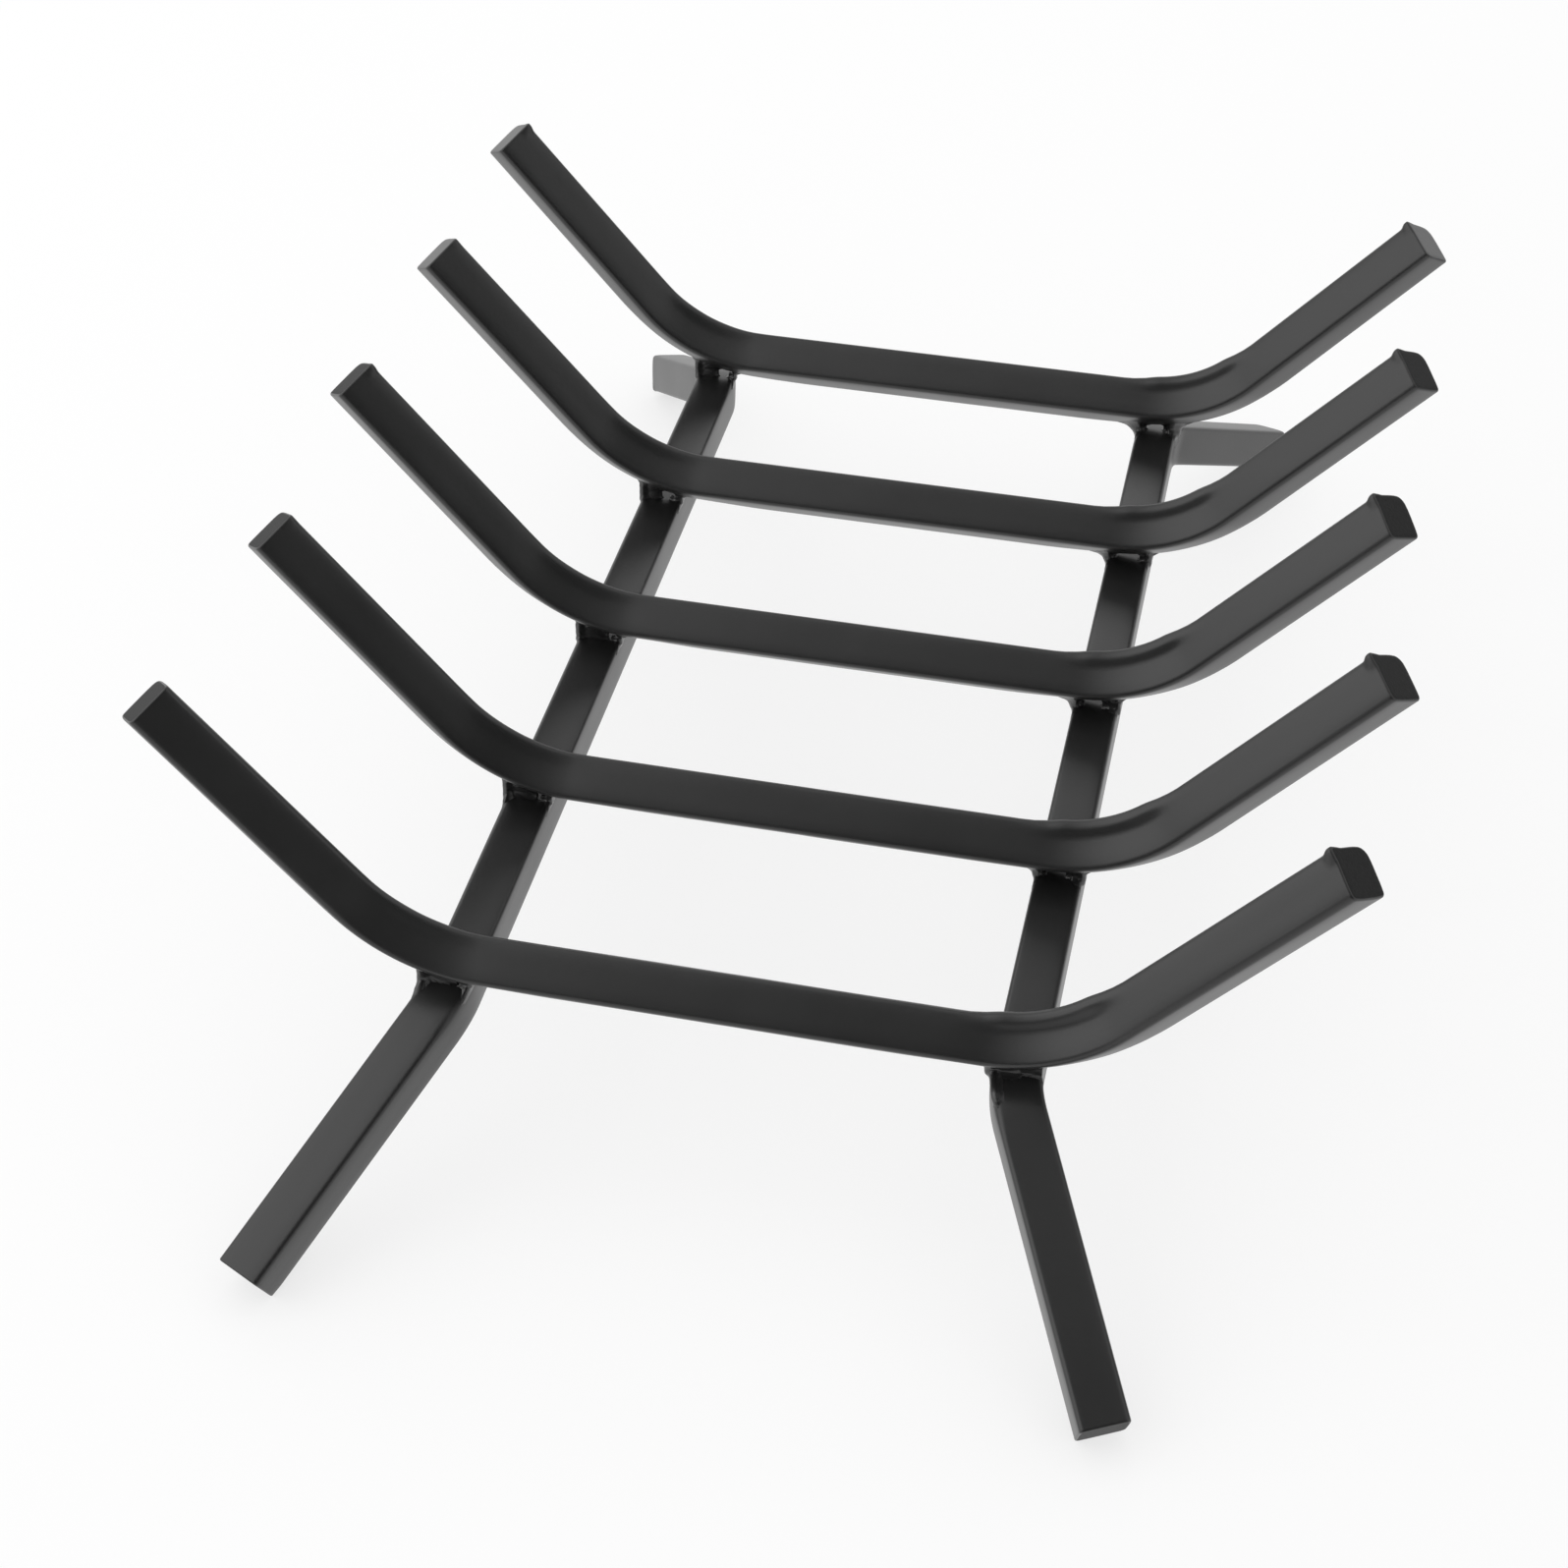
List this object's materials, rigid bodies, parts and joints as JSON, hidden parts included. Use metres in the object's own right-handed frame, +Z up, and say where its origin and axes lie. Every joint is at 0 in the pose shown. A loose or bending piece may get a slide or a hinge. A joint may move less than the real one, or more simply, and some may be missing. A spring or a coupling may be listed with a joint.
{
  "type": "log holder",
  "caption": "Fireplace log grate welded from square bar: crossbars with raised arms cradle the logs over two rails that bend down into splayed legs.",
  "frame": {"origin": "bottom centre of the bounding box, on the hearth", "axes": "+X along the crossbars, to the right as seen from the front; +Y from the front crossbar to the back one; +Z up from the hearth"},
  "size_m": [0.298, 0.4314, 0.1317],
  "materials": {
    "black_paint": "satin black heat-resistant paint on steel bar",
    "painted_weld": "satin black heat-resistant paint on weld metal"
  },
  "bodies": {
    "root": {"crossbar_1": "black_paint", "crossbar_2": "black_paint", "crossbar_3": "black_paint", "crossbar_4": "black_paint", "crossbar_5": "black_paint", "leg_rail_left": "black_paint", "leg_rail_right": "black_paint", "weld_1_left_outer": "painted_weld", "weld_1_left_inner": "painted_weld", "weld_1_right_outer": "painted_weld", "weld_1_right_inner": "painted_weld", "weld_2_left_outer": "painted_weld", "weld_2_left_inner": "painted_weld", "weld_2_right_outer": "painted_weld", "weld_2_right_inner": "painted_weld", "weld_3_left_outer": "painted_weld", "weld_3_left_inner": "painted_weld", "weld_3_right_outer": "painted_weld", "weld_3_right_inner": "painted_weld", "weld_4_left_outer": "painted_weld", "weld_4_left_inner": "painted_weld", "weld_4_right_outer": "painted_weld", "weld_4_right_inner": "painted_weld", "weld_5_left_outer": "painted_weld", "weld_5_left_inner": "painted_weld", "weld_5_right_outer": "painted_weld", "weld_5_right_inner": "painted_weld"}
  },
  "joints": []
}
